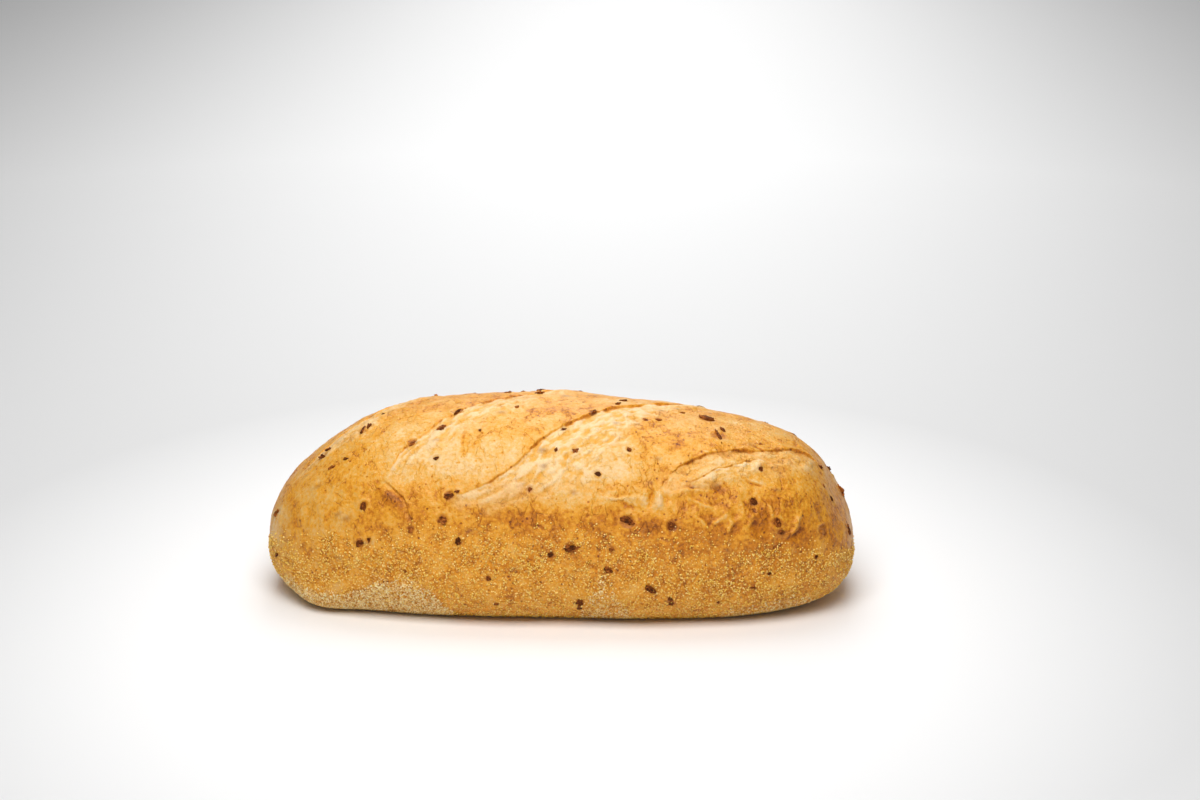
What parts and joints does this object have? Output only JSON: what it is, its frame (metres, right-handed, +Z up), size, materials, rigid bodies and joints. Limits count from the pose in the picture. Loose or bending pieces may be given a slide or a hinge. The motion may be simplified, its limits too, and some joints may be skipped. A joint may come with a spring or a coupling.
{
  "type": "onion bread loaf",
  "caption": "Whole long baked loaf with slashed golden crust, browned onion flakes and a flat base to stand on.",
  "frame": {"origin": "on the floor, under the middle of the loaf's box", "axes": "+X along the loaf, to the right as seen from its front, -Y towards the front, +Z up"},
  "size_m": [0.2809, 0.126, 0.0941],
  "materials": {
    "crust": "baked bread crust, satin on the shoulders, pale in the slashes and floury with corn meal low on the sides"
  },
  "bodies": {
    "root": {"loaf": "crust"}
  },
  "joints": []
}
